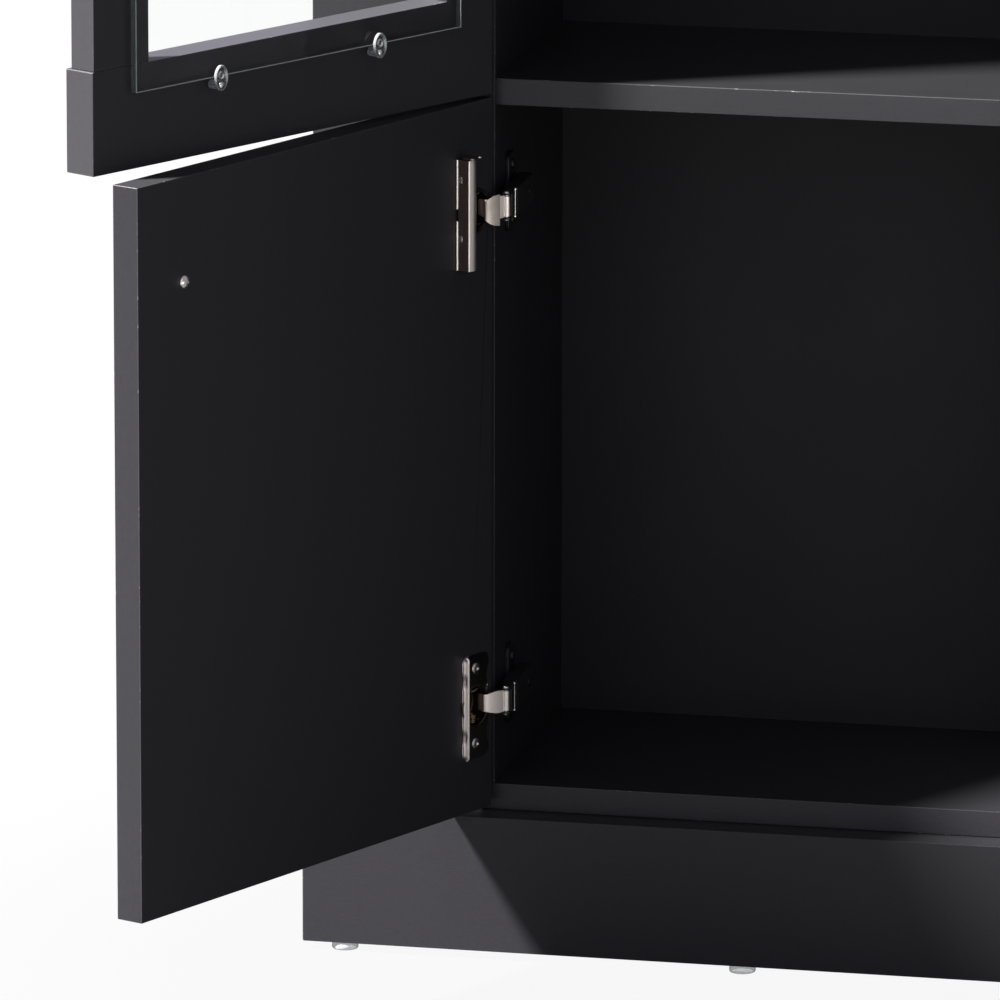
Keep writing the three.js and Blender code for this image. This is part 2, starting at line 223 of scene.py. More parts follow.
def pane(name, tint):
    """Flat glass face: nearly clear, mirror-like at a grazing look, with faint cleaning haze."""
    k = Net(name)
    w = k.coords((1, 1, 1))
    haze = k.noise(w, 26.0, 3.0, 0.6)
    tr = k.n("BsdfTransparent")
    k.l(k.mix(k.rng(haze, 0.3, 0.8, 0.0, 1.0), tint, tuple(x * 0.985 for x in tint)), tr.inputs["Color"])
    gl = k.n("BsdfGlossy")
    gl.inputs["Color"].default_value = (0.62, 0.58, 0.68, 1)
    k.l(k.rng(haze, 0.3, 0.7, 0.0, 0.03), gl.inputs["Roughness"])
    fr = k.n("Fresnel")
    fr.inputs["IOR"].default_value = 1.33
    geo = k.n("NewGeometry")
    front = k.math("SUBTRACT", 1.0, geo.outputs["Backfacing"])
    mx = k.n("MixShader")
    k.l(k.math("MULTIPLY", fr.outputs[0], front), mx.inputs[0])
    k.l(tr.outputs[0], mx.inputs[1])
    k.l(gl.outputs[0], mx.inputs[2])
    k.l(mx.outputs[0], k.out.inputs["Surface"])
    return k.m


def pane_edge(name):
    """Ground edge of the glass, where a little of the light piped along the sheet comes out grey-green."""
    k = Net(name)
    w = k.coords((1, 1, 1))
    a = k.noise(w, 700.0, 3.0, 0.6)
    c = k.noise(w, 22.0, 2.0, 0.5)
    col = k.mix(k.rng(c, 0.3, 0.7, 0.0, 1.0), (0.16, 0.19, 0.18), (0.27, 0.31, 0.30))
    tr = k.n("BsdfTransparent")
    tr.inputs["Color"].default_value = (0.62, 0.72, 0.69, 1)
    p = k.n("BsdfPrincipled")
    k.l(col, p.inputs["Base Color"])
    k.l(k.rng(a, 0.3, 0.7, 0.10, 0.28), p.inputs["Roughness"])
    k.l(k.bump(a, 0.2, 0.00004), p.inputs["Normal"])
    mx = k.n("MixShader")
    mx.inputs[0].default_value = 0.40
    k.l(tr.outputs[0], mx.inputs[1])
    k.l(p.outputs[0], mx.inputs[2])
    k.l(mx.outputs[0], k.out.inputs["Surface"])
    return k.m


def clear_plastic(name, body, rim):
    """Clear moulded plastic: see-through where it is looked at squarely, pale along its turned-away rims."""
    k = Net(name)
    w = k.coords((1, 1, 1))
    a = k.noise(w, 1500.0, 2.0, 0.5)
    tr = k.n("BsdfTransparent")
    tr.inputs["Color"].default_value = (0.86, 0.88, 0.88, 1)
    p = k.n("BsdfPrincipled")
    k.l(k.mix(k.rng(a, 0.3, 0.7, 0.0, 1.0), (0.52, 0.53, 0.53), (0.66, 0.67, 0.67)), p.inputs["Base Color"])
    k.l(k.rng(a, 0.3, 0.7, 0.08, 0.16), p.inputs["Roughness"])
    k.l(k.bump(a, 0.1, 0.00003), p.inputs["Normal"])
    lw = k.n("LayerWeight")
    lw.inputs["Blend"].default_value = 0.35
    mx = k.n("MixShader")
    k.l(k.rng(lw.outputs["Facing"], 0.15, 0.85, body, rim), mx.inputs[0])
    k.l(tr.outputs[0], mx.inputs[1])
    k.l(p.outputs[0], mx.inputs[2])
    k.l(mx.outputs[0], k.out.inputs["Surface"])
    return k.m


M = {
    "foil_v": foil("foil_upright", "Z"),
    "foil_h": foil("foil_level", "X"),
    "worn_v": foil("foil_upright_edge", "Z", worn=True),
    "worn_h": foil("foil_level_edge", "X", worn=True),
    "front_v": foil("front_foil_upright", "Z", base=0.022, rough=0.46, spec=0.36),
    "front_h": foil("front_foil_level", "X", base=0.022, rough=0.46, spec=0.36),
    "front_worn": foil("front_foil_edge", "Z", base=0.024, rough=0.42, spec=0.5, worn=True),
    "back": foil("back_foil", "Z", base=0.013, rough=0.6, spec=0.3),
    "nickel": metal("nickel_plate", (0.95, 0.875, 0.82), 0.38, 0.05),
    "nickel_face": metal("nickel_mirror", (0.66, 0.61, 0.55), 0.11, 0.03),
    "steel": metal("zinc_steel", (0.66, 0.66, 0.66), 0.30, 0.08),
    "bracket": metal("bracket_steel", (0.60, 0.60, 0.59), 0.34, 0.07, brush=(90.0, 2600.0, 2600.0)),
    "satin": metal("satin_nickel", (0.60, 0.575, 0.54), 0.32, 0.05, brush=(60.0, 60.0, 3200.0)),
    "glide": clear_plastic("glide_plastic", 0.35, 0.50),
    "clip": clear_plastic("clear_clip", 0.03, 0.25),
    "clip_rim": clear_plastic("clear_clip_rim", 0.26, 0.60),
    "black_steel": plastic("black_coated_steel", (0.010, 0.010, 0.011), 0.34, 0.2),
    "black_cap": plastic("black_cap", (0.012, 0.012, 0.013), 0.42, 0.2),
    "cast": metal("cast_zinc", (0.50, 0.46, 0.42), 0.40, 0.10, dirt=0.8),
    "brown_nickel": metal("damper_nickel", (0.26, 0.215, 0.19), 0.34, 0.03, brush=(120.0, 120.0, 40.0)),
    "rivet": metal("rivet_steel", (0.94, 0.91, 0.88), 0.22, 0.05),
    # painted shade: darkened plating for the inside of the hinge pots
    "pot_painted_shade": metal("cup_plate_painted_shade", (0.085, 0.065, 0.05), 0.34, 0.06),
    # painted highlight: a paler copy of the front foil for the top face of the upper door's bottom rail
    "rail_top_painted_highlight": foil("rail_top_highlight_foil", "X", base=0.046, rough=0.35, spec=0.6),
    "arris": clear_plastic("glass_arris", 0.55, 0.75),
    # painted shade: a darker copy of the shelf foil for the middle shelf's top face
    "shelf_top_painted_shade": foil("shelf_top_foil", "X", base=0.0088, rough=0.44, spec=0.8),
    "spring": metal("spring_brass", (0.50, 0.36, 0.20), 0.25, 0.06),
    # painted shade: a darker copy of the front foil for the pilasters' front faces
    "pilaster_face_painted_shade": foil("pilaster_foil", "Z", base=0.0145, rough=0.44, spec=0.5),
    "edge_low": foil("door_edge_band", "Z", base=0.0164, rough=0.5, spec=0.14),
    "edge_low_worn": foil("door_edge_band_corner", "Z", base=0.017, rough=0.48, spec=0.4, worn=True),
    "band_shelf": foil("shelf_edge_band", "X", base=0.0205, rough=0.46, spec=0.36),
    "band_bottom": foil("bottom_edge_band", "X", base=0.031, rough=0.44, spec=0.3),
    "raw_back": foil("raw_fibreboard", "Z", base=0.05, rough=0.75, spec=0.2),
    "pane": pane("glass_face", (0.985, 0.992, 0.988)),
    "pane_edge": pane_edge("glass_edge"),
    "shelf_pane": pane("shelf_glass_face", (0.93, 0.965, 0.95)),
}


# -------------------------------------------------------------- CAD node looks
def dress(node, face, edge=None, width=0.0006, segments=2):
    """Gives a CAD node its material, and softens its corners."""
    o = N[node]
    o.data.materials.clear()
    o.data.materials.append(M[face])
    if edge:
        o.data.materials.append(M[edge])
    for p in o.data.polygons:
        p.material_index = 0
    if width:
        wd = o.modifiers.new("weld", "WELD")
        wd.merge_threshold = 0.000002
        bv = o.modifiers.new("corner", "BEVEL")
        bv.width = width
        bv.segments = segments
        bv.limit_method = "ANGLE"
        bv.angle_limit = math.radians(35)
        bv.use_clamp_overlap = True
        if edge:
            bv.material = 1
        wn = o.modifiers.new("normals", "WEIGHTED_NORMAL")
        wn.keep_sharp = False
        wn.weight = 90
    return o


for n in ("bottom_panel", "top_panel", "middle_shelf"):
    dress(n, "foil_h", "worn_h")
dress("back_panel", "back", None, 0.0003, 1)
for s in ("left", "right"):
    dress(f"side_panel_{s}", "foil_v", "worn_v")
    dress(f"pilaster_{s}", "front_v", "front_worn")
    dress(f"partition_{s}", "foil_v", "worn_v", 0.0004)
for n in ("front", "left", "right", "rear"):
    dress(f"plinth_{n}", "front_h", "front_worn")
dress("lower_door_panel", "front_v", "front_worn", 0.0005)
for n in ("bottom_rail", "top_rail"):
    dress(f"upper_door_{n}", "front_v", "front_worn")
for n in ("hinge_stile", "free_stile"):
    dress(f"upper_door_{n}", "front_v", "front_worn", 0.0005)


def glass(node, face, thin_axis_normal):
    """Faces of a pane take the clear material, its narrow sides the ground-edge one."""
    o = N[node]
    o.data.materials.clear()
    o.data.materials.append(M[face])
    o.data.materials.append(M["pane_edge"])
    for p in o.data.polygons:
        p.material_index = 0 if abs(p.normal.dot(thin_axis_normal)) > 0.9 else 1
    return o


def door_normal(open_deg):
    a = math.radians(-open_deg)
    return Vector((-math.sin(a), math.cos(a), 0))


glass("glass_shelf", "shelf_pane", Vector((0, 0, 1)))
glass("upper_door_glass", "pane", door_normal(119.5))

for n in N:
    if n.startswith("wall_bracket"):
        dress(n, "bracket", None, 0.0003, 2)


def band(node, faces):
    """Gives the faces that look one way their own edge band: (direction, material) pairs."""
    o = N[node]
    for direction, material in faces:
        o.data.materials.append(M[material])
        k = len(o.data.materials) - 1
        for p in o.data.polygons:
            if p.normal.dot(Vector(direction).normalized()) > 0.9:
                p.material_index = k


front = (0, -1, 0)
band("bottom_panel", [(front, "band_bottom")])
# painted shade: the middle shelf's top face gets the darker copy of the shelf foil
band("middle_shelf", [(front, "band_shelf"), ((0, 0, 1), "shelf_top_painted_shade")])
a114 = math.radians(-114.0)
band("lower_door_panel", [((math.cos(a114), math.sin(a114), 0), "edge_low")])
band("back_panel", [((0, 1, 0), "raw_back")])
# painted shade: the pilasters' front faces get the darker copy of the front foil
band("pilaster_left", [(front, "pilaster_face_painted_shade")])
band("pilaster_right", [(front, "pilaster_face_painted_shade")])
# painted highlight: the rail's upward face gets the paler foil that stands for the light it catches
band("upper_door_bottom_rail", [((0, 0, 1), "rail_top_painted_highlight")])


# ------------------------------------------------------------ mesh code helpers
def mesh_obj(name, bm, material, smooth=35.0, extra=()):
    bmesh.ops.remove_doubles(bm, verts=bm.verts, dist=1e-7)
    bmesh.ops.recalc_face_normals(bm, faces=bm.faces)
    me = bpy.data.meshes.new(name)
    bm.to_mesh(me)
    bm.free()
    me.materials.append(M[material])
    for e in extra:
        me.materials.append(M[e])
    if smooth:
        for p in me.polygons:
            p.use_smooth = True
        me.set_sharp_from_angle(angle=math.radians(smooth))
    o = bpy.data.objects.new(name, me)
    SC.collection.objects.link(o)
    return o


def soften(o, width, segments=2, angle=30.0, material=None):
    """Rounds the corners of a new piece and keeps its flat faces flat."""
    bv = o.modifiers.new("corner", "BEVEL")
    bv.width, bv.segments = width, segments
    bv.limit_method = "ANGLE"
    bv.angle_limit = math.radians(angle)
    if material is not None:
        bv.material = material
    wn = o.modifiers.new("normals", "WEIGHTED_NORMAL")
    wn.keep_sharp = False
    return o


def baked(o):
    """Applies the modifiers that are on a new piece."""
    dg = bpy.context.evaluated_depsgraph_get()
    dg.update()
    me = bpy.data.meshes.new_from_object(o.evaluated_get(dg))
    o.modifiers.clear()
    o.data = me
    return o


def lathe_bm(profile, n=48):
    """Profile of (radius, height) turned about +Z; it starts and ends on the axis."""
    bm = bmesh.new()
    rings = []
    for r, z in profile:
        if r < 1e-7:
            rings.append([bm.verts.new((0, 0, z))])
        else:
            rings.append([bm.verts.new((r * math.cos(2 * math.pi * i / n), r * math.sin(2 * math.pi * i / n), z)) for i in range(n)])
    for a, b in zip(rings, rings[1:]):
        for i in range(n):
            j = (i + 1) % n
            if len(a) == 1 and len(b) == 1:
                continue
            if len(a) == 1:
                bm.faces.new((a[0], b[j], b[i]))
            elif len(b) == 1:
                bm.faces.new((a[i], a[j], b[0]))
            else:
                bm.faces.new((a[i], a[j], b[j], b[i]))
    return bm


def ring_bm(profile, n=48):
    """Closed profile of (radius, height) turned about +Z."""
    bm = bmesh.new()
    rings = [[bm.verts.new((r * math.cos(2 * math.pi * i / n), r * math.sin(2 * math.pi * i / n), z)) for i in range(n)] for r, z in profile]
    for k in range(len(rings)):
        a, b = rings[k], rings[(k + 1) % len(rings)]
        for i in range(n):
            j = (i + 1) % n
            bm.faces.new((a[i], a[j], b[j], b[i]))
    return bm


def prism_bm(points, z0, z1):
    """Closed outline in X,Y drawn up from z0 to z1."""
    bm = bmesh.new()
    lo = [bm.verts.new((x, y, z0)) for x, y in points]
    hi = [bm.verts.new((x, y, z1)) for x, y in points]
    bm.faces.new(lo[::-1])
    bm.faces.new(hi)
    for i in range(len(points)):
        j = (i + 1) % len(points)
        bm.faces.new((lo[i], lo[j], hi[j], hi[i]))
    return bm


def box_bm(x0, x1, y0, y1, z0, z1):
    return prism_bm([(x0, y0), (x1, y0), (x1, y1), (x0, y1)], z0, z1)


def arc(cx, cy, r, a0, a1, n):
    return [(cx + r * math.cos(math.radians(a0 + (a1 - a0) * i / n)), cy + r * math.sin(math.radians(a0 + (a1 - a0) * i / n))) for i in range(n + 1)]


def cut(o, *cutters):
    """Subtracts the cutters' shapes from a new piece."""
    for c in cutters:
        m = o.modifiers.new("cut", "BOOLEAN")
        m.operation = "DIFFERENCE"
        m.solver = "EXACT"
        m.object = c
    baked(o)
    for c in cutters:
        bpy.data.objects.remove(c)
    for p in o.data.polygons:
        p.use_smooth = True
    o.data.set_sharp_from_angle(angle=math.radians(32))
    return o


def place(o, matrix):
    o.matrix_world = matrix @ o.matrix_world
    return o


mm = 0.001
PIV = Vector((-0.1645, 0.002, 0.0))


def door_frame(open_deg):
    """From (u - 4.5 mm, height over mid-thickness, z) of a door to the row frame."""
    return Matrix.Translation(PIV) @ Matrix.Rotation(math.radians(-open_deg), 4, "Z")


DOORS = {"lower": (door_frame(114.0), "lower_door"), "upper": (door_frame(119.5), "upper_door")}


def at_door(which, u, h, z):
    """A place on a door: its +Z looks out of the inner face, +X along the door, +Y up."""
    m, _ = DOORS[which]
    local = Matrix(((1, 0, 0, (u - 4.5) * mm), (0, 0, 1, (9 + h) * mm), (0, 1, 0, z * mm), (0, 0, 0, 1)))
    return m @ local


def mirror_x(bm):
    """at_door turns a left-handed corner, so a mesh made for it is turned over once."""
    for v in bm.verts:
        v.co.x = -v.co.x
    return bm


def screw_head(name, r, h, matrix, body, material="steel", recess=0.55, n=40, flat=False, slots=True):
    """Pan or flat head with a cross recess; its top is along +Z and it stands on z = 0."""
    if flat:
        prof = [(0, -h * 0.4), (r * 0.96, -h * 0.4), (r, 0), (r * 0.97, h * 0.30), (r * 0.80, h * 0.44), (r * 0.4, h * 0.5), (0, h * 0.5)]
    else:
        prof = [(0, -h * 0.25), (r * 0.97, -h * 0.25), (r, 0), (r, h * 0.30), (r * 0.93, h * 0.60), (r * 0.78, h * 0.82), (r * 0.52, h * 0.95), (r * 0.25, h), (0, h)]
    o = mesh_obj(name, lathe_bm(prof, n), material, 40)
    top = h * (0.5 if flat else 1.0)
    cutters = []
    w, l = r * 0.17, r * recess
    for k in range(2):
        bm = bmesh.new()
        pts = [(-l, -w), (l, -w), (l, w), (-l, w)]
        hi = [bm.verts.new((x, y, top + h)) for x, y in pts]
        lo = [bm.verts.new((x * 0.45, y * 0.8, top - h * 0.62)) for x, y in pts]
        bm.faces.new(lo[::-1])
        bm.faces.new(hi)
        for i in range(4):
            j = (i + 1) % 4
            bm.faces.new((lo[i], lo[j], hi[j], hi[i]))
        c = mesh_obj(f"{name}_cut{k}", bm, material, 0)
        c.matrix_world = Matrix.Rotation(math.radians(90 * k + 18), 4, "Z")
        cutters.append(c)
    if slots:
        cut(o, *cutters)
    o.matrix_world = matrix
    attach(o, body)
    return o


# -------------------------------------------------------------------- doors
LOW_Z, UP_Z = (158.0, 459.6), (637.0, 1285.0)
PARTS = [("lower", "bottom", LOW_Z[0]), ("lower", "top", LOW_Z[1]), ("upper", "bottom", UP_Z[0]), ("upper", "top", UP_Z[1])]
OPEN = {"lower": 114.0, "upper": 119.5}


def cup(which, where, z):
    """Hinge cup: bored pot with a rolled lip, on a flange with an upstand along its far side; the lower door's top cup
    gets the pot alone.
    """
    node = f"{which}_door_hinge_{where}_cup"
    body = f"{which}_door"
    R = 12.55
    pot = ring_bm([(12.0 * mm, 0.9 * mm), (12.0 * mm, -9.2 * mm), (11.2 * mm, -10.2 * mm), (0.02 * mm, -10.25 * mm), (0.02 * mm, -11.2 * mm), (11.6 * mm, -11.2 * mm), (12.7 * mm, -10.0 * mm),
                   (12.7 * mm, 0.3 * mm), (13.3 * mm, 0.45 * mm), (13.5 * mm, 0.8 * mm), (13.3 * mm, 1.15 * mm), (12.6 * mm, 1.3 * mm)], 64)
    # painted shade: the pot's plating is darkened to stand for the shade inside the bore
    o = mesh_obj(f"{which}_{where}_hinge_pot", pot, "pot_painted_shade", 50)
    o.matrix_world = at_door(which, 17.0, 0.0, z)
    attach(o, body)
    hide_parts(node)
    if which == "lower" and where == "top":
        return
    # flange: plan outline in (u, z), with a smooth waist either side of the pot
    n = 72
    def far(t):
        a = abs(t)
        if a > 27.5:
            e = min(1.0, (a - 27.5) / 4.5)
            return 12.5 - 5.5 * (1 - math.sqrt(max(0.0, 1 - e * e)))
        lobes = 12.55 - 1.25 * (0.5 + 0.5 * math.cos(2 * math.pi * (a - 17.2) / 13.0)) if 10.7 < a < 23.7 else 12.55
        return lobes
    zs = [-32 + 64 * i / n for i in range(n + 1)]
    right = [(far(t), t) for t in zs]
    left = [(-(far(t) - (1.0 if abs(t) < 24 else 0.0)), t) for t in zs][::-1]
    outline = [(x * mm, y * mm) for x, y in right + left]
    plate = mesh_obj(f"{which}_{where}_hinge_flange", prism_bm(outline, 0.15 * mm, 1.15 * mm), "nickel_face", 40)
    hole = mesh_obj("bore", lathe_bm([(0, -5 * mm), (12.6 * mm, -5 * mm), (12.6 * mm, 5 * mm), (0, 5 * mm)], 64), "nickel_face", 0)
    cut(plate, hole)
    soften(plate, 0.22 * mm, 2, 40)
    plate.matrix_world = at_door(which, 17.0, 0.0, z)
    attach(plate, body)
    # upstand: flared foot on the door, straight lip on top
    bm = bmesh.new()
    rows = []
    for t in zs:
        f = far(t)
        e = max(0.0, (abs(t) - 30.0) / 2.0)
        top = 4.3 - 1.6 * e * e
        prof = [(f + 0.15, 0.05), (f + 0.22, 0.55), (min(f - 0.3, 11.9), 1.3), (11.55, 2.6), (11.35, top - 0.45), (11.1, top), (10.5, top), (10.25, top - 0.5), (10.2, 0.6)]
        rows.append([bm.verts.new((u * mm, t * mm, h * mm)) for u, h in prof])
    for a, b in zip(rows, rows[1:]):
        for i in range(len(a)):
            j = (i + 1) % len(a)
            bm.faces.new((a[i], a[j], b[j], b[i]))
    bm.faces.new(rows[0][::-1])
    bm.faces.new(rows[-1])
    lip = mesh_obj(f"{which}_{where}_hinge_upstand", bm, "nickel", 50)
    lip.matrix_world = at_door(which, 17.0, 0.0, z)
    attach(lip, body)
    for d in (-23.1, 23.1):
        tag = "lo" if d < 0 else "hi"
        screw_head(f"{which}_{where}_flange_screw_{tag}", 3.5 * mm, 1.5 * mm, at_door(which, 17.0, 1.1, z + d), body, "rivet", 0.6, 40, True)


LINK_PATH = [(6.64, -11.85), (4.48, -14.22), (2.54, -16.08), (0.85, -17.44), (-0.61, -18.29), (-1.84, -18.63), (-2.83, -18.47), (-3.59, -17.8), (-4.11, -16.62)]
PIN = (9.05, -8.97)
PER_DOOR = 0.312719


def smooth_path(pts, step=3):
    out = []
    for i in range(len(pts) - 1):
        p0, p1, p2, p3 = pts[max(i - 1, 0)], pts[i], pts[i + 1], pts[min(i + 2, len(pts) - 1)]
        for k in range(step):
            t = k / step
            out.append(tuple(0.5 * (2 * p1[a] + (p2[a] - p0[a]) * t + (2 * p0[a] - 5 * p1[a] + 4 * p2[a] - p3[a]) * t * t + (3 * p1[a] - p0[a] - 3 * p2[a] + p3[a]) * t ** 3) for a in (0, 1)))
    out.append(pts[-1])
    return out


def strip(path, heights, w):
    """Plate that follows a plan path, with its half height at each step."""
    bm = bmesh.new()
    rows = []
    for i, (c, hh) in enumerate(zip(path, heights)):
        a, b = path[max(0, i - 1)], path[min(len(path) - 1, i + 1)]
        l = math.hypot(b[0] - a[0], b[1] - a[1])
        nx, ny = -(b[1] - a[1]) / l, (b[0] - a[0]) / l
        rows.append([bm.verts.new(((c[0] + nx * s) * mm, (c[1] + ny * s) * mm, z * mm)) for s, z in ((w, hh), (w, -hh), (-w, -hh), (-w, hh))])
    for a, b in zip(rows, rows[1:]):
        for i in range(4):
            j = (i + 1) % 4
            bm.faces.new((a[i], a[j], b[j], b[i]))
    bm.faces.new(rows[0][::-1])
    bm.faces.new(rows[-1])
    return bm


def hinge_turn(which, z):
    """The link's own turn: drawn at 114 degrees, then swung about its pin for the door's angle."""
    a = math.radians((OPEN[which] - 114.0) * PER_DOOR)
    p = Matrix.Translation((PIN[0] * mm, PIN[1] * mm, 0))
    return Matrix.Translation((-0.155, 0.013, z * mm)) @ p @ Matrix.Rotation(a, 4, "Z") @ p.inverted()


def hinge_side(which, where, z):
    """Link, arm with its cover, mounting plate, rivets and screws."""
    base = f"{which}_door_hinge_{where}"
    links = f"{which}_links"
    turn = hinge_turn(which, z)
    path = smooth_path([(PIN[0] - 1.2, PIN[1] - 1.35)] + LINK_PATH + [(-5.2, -15.85), (-6.5, -15.35)], 3)
    def half(x):
        steps = ((14.0, 6.6), (7.0, 6.6), (5.2, 6.9), (3.0, 6.5), (1.2, 6.1), (-0.5, 5.4), (-4.2, 5.2), (-5.4, 5.1), (-8.5, 3.6))
        for (x0, h0), (x1, h1) in zip(steps, steps[1:]):
            if x1 <= x <= x0:
                return h1 + (h0 - h1) * (x - x1) / (x0 - x1)
        return 4.3
    plate = mesh_obj(f"{which}_{where}_link_plate", strip(path, [half(x) for x, _ in path], 0.55), "nickel", 40)
    soften(plate, 0.25 * mm, 2, 50)
    plate.matrix_world = turn
    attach(plate, links)
    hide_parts(base + "_link")
    # folded side rims by the pin
    for sgn in (-1, 1):
        rim_path = path[:9]
        bm = bmesh.new()
        rows = []
        for i, c in enumerate(rim_path):
            a, b = rim_path[max(0, i - 1)], rim_path[min(len(rim_path) - 1, i + 1)]
            l = math.hypot(b[0] - a[0], b[1] - a[1])
            nx, ny = -(b[1] - a[1]) / l, (b[0] - a[0]) / l
            deep = -(1.5 - 0.6 * (i / (len(rim_path) - 1)) ** 2)
            hh = half(c[0])
            z0, z1 = sgn * (hh - 0.75), sgn * (hh + 0.08)
            rows.append([bm.verts.new(((c[0] + nx * s) * mm, (c[1] + ny * s) * mm, zz * mm)) for s, zz in ((0.8, z0), (0.8, z1), (deep, z1), (deep, z0))])
        for a, b in zip(rows, rows[1:]):
            for i in range(4):
                j = (i + 1) % 4
                bm.faces.new((a[i], a[j], b[j], b[i]))
        bm.faces.new(rows[0][::-1])
        bm.faces.new(rows[-1])
        rim = mesh_obj(f"{which}_{where}_link_rim_{'hi' if sgn > 0 else 'lo'}", bm, "nickel", 40)
        soften(rim, 0.18 * mm, 2, 40)
        rim.matrix_world = turn
        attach(rim, links)
    knuckle = mesh_obj(f"{which}_{where}_link_knuckle", ring_bm([(1.45 * mm, -6.2 * mm), (2.0 * mm, -6.2 * mm), (2.2 * mm, -6.0 * mm), (2.2 * mm, 6.0 * mm), (2.0 * mm, 6.2 * mm), (1.45 * mm, 6.2 * mm)], 32), "nickel", 40)
    knuckle.matrix_world = turn @ Matrix.Translation((PIN[0] * mm, PIN[1] * mm, 0))
    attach(knuckle, links)
    # arm: the jaw at the front is nickel, drawn in black steel as painted shade; black cover over the rest
    org = Matrix.Translation((-0.155, 0.013, z * mm))
    jaw_out = [(6.8, -10.2), (7.3, -10.9), (8.2, -11.35), (9.2, -11.45), (10.3, -11.3), (11.2, -10.7), (11.7, -10.0), (11.9, -9.0), (11.9, -2.0), (11.9, 8.0), (3.3, 8.0), (3.9, 5.6), (5.2, 3.0), (6.1, -3.0)]
    inner = [(0, -12.5), (13, -12.5), (13, -6.4), (10.9, -6.4), (10.9, 9.5), (0, 9.5)]
    # painted shade: the nickel jaw takes the black steel material
    jaw = mesh_obj(f"{which}_{where}_hinge_jaw", prism_bm([(x * mm, y * mm) for x, y in jaw_out], -7.9 * mm, 7.9 * mm), "black_steel", 40)
    cut(jaw, mesh_obj("gap", prism_bm([(x * mm, y * mm) for x, y in inner], -6.75 * mm, 6.75 * mm), "nickel", 0))
    soften(jaw, 0.28 * mm, 2, 40)
    jaw.matrix_world = org
    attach(jaw, "root")
    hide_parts(base + "_arm")
    cover_out = [(3.2, 8.2), (3.2, 52.4), (4.0, 53.2), (9.6, 53.2), (11.0, 52.2), (12.0, 50.5)] + [(12.15, 46.0), (12.35, 36.0), (12.4, 24.0), (12.3, 14.0), (12.1, 8.2)]
    cover = mesh_obj(f"{which}_{where}_hinge_cover", prism_bm([(x * mm, y * mm) for x, y in cover_out], -8.25 * mm, 8.25 * mm), "black_cap", 40)
    soften(cover, 0.9 * mm, 4, 40)
    cover.matrix_world = org
    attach(cover, "root")
    # black sleeve over the jaw's flanges, behind the rivet line
    sleeve_out = [(7.4, -8.8), (11.3, -8.8), (11.3, 8.4), (3.4, 8.4), (4.1, 5.7), (5.4, 3.0), (6.5, -3.0)]
    sleeve = mesh_obj(f"{which}_{where}_hinge_sleeve", prism_bm([(x * mm, y * mm) for x, y in sleeve_out], -8.15 * mm, 8.15 * mm), "black_cap", 40)
    cut(sleeve, mesh_obj("gap", prism_bm([(x * mm, y * mm) for x, y in [(0, -14), (13.5, -14), (13.5, -8.0), (11.93, -8.0), (11.93, 9.6), (0, 9.6)]], -7.92 * mm, 7.92 * mm), "nickel", 0))
    sleeve.matrix_world = org
    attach(sleeve, "root")
    pin = mesh_obj(f"{which}_{where}_hinge_pin", lathe_bm([(0, -8.9 * mm), (1.0 * mm, -8.9 * mm), (1.55 * mm, -8.6 * mm), (1.75 * mm, -8.2 * mm), (1.75 * mm, -7.9 * mm), (1.2 * mm, -7.9 * mm), (1.2 * mm, 7.9 * mm), (1.75 * mm, 7.9 * mm), (1.75 * mm, 8.2 * mm), (1.55 * mm, 8.6 * mm), (1.0 * mm, 8.9 * mm), (0, 8.9 * mm)], 28), "rivet", 40)
    pin.matrix_world = org @ Matrix.Translation((PIN[0] * mm, PIN[1] * mm, 0))
    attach(pin, "root")
    pin2 = mesh_obj(f"{which}_{where}_hinge_pin_rear", lathe_bm([(0, -8.9 * mm), (0.6 * mm, -8.85 * mm), (0.92 * mm, -8.5 * mm), (0.92 * mm, -7.9 * mm), (0.4 * mm, -7.7 * mm), (0.4 * mm, 7.7 * mm), (0.92 * mm, 7.9 * mm), (0.92 * mm, 8.5 * mm), (0.6 * mm, 8.85 * mm), (0, 8.9 * mm)], 28), "rivet", 40)
    pin2.matrix_world = org @ Matrix.Translation((11.75 * mm, 2.0 * mm, 0))
    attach(pin2, "root")
    # mounting plate: winged, black, with two wood screws
    wing = []
    for a, b in ((1, 1), (-1, 1), (-1, -1), (1, -1)):
        cy, cz = 36.5 + a * 4.3, b * 18.7
        q = {(1, 1): 0, (-1, 1): 90, (-1, -1): 180, (1, -1): 270}[(a, b)]
        wing += [(y, zz) for y, zz in arc(cy, cz, 5.2, q, q + 90, 8)]
    bm = bmesh.new()
    lo = [bm.verts.new((0.05 * mm, y * mm, zz * mm)) for y, zz in wing]
    hi = [bm.verts.new((2.6 * mm, y * mm, zz * mm)) for y, zz in wing]
    bm.faces.new(lo[::-1]); bm.faces.new(hi)
    for i in range(len(wing)):
        j = (i + 1) % len(wing)
        bm.faces.new((lo[i], lo[j], hi[j], hi[i]))
    mp = mesh_obj(f"{which}_{where}_mounting_wing", bm, "black_steel", 35)
    soften(mp, 0.5 * mm, 3, 40)
    mp.matrix_world = org
    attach(mp, "root")
    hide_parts(base + "_mounting_plate")
    spine = mesh_obj(f"{which}_{where}_mounting_spine", box_bm(0.2 * mm, 10.3 * mm, 24.2 * mm, 49.8 * mm, -6.1 * mm, 6.1 * mm), "black_steel", 0)
    soften(spine, 0.6 * mm, 3, 40)
    spine.matrix_world = org
    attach(spine, "root")
    to_x = Matrix(((0, 0, 1, 0), (1, 0, 0, 0), (0, 1, 0, 0), (0, 0, 0, 1)))
    for d in (-16.5, 16.5):
        screw_head(f"{which}_{where}_wing_screw_{'hi' if d > 0 else 'lo'}", 3.4 * mm, 1.8 * mm, org @ Matrix.Translation((2.55 * mm, 36.5 * mm, d * mm)) @ to_x, "root", "black_steel", 0.6, 36)
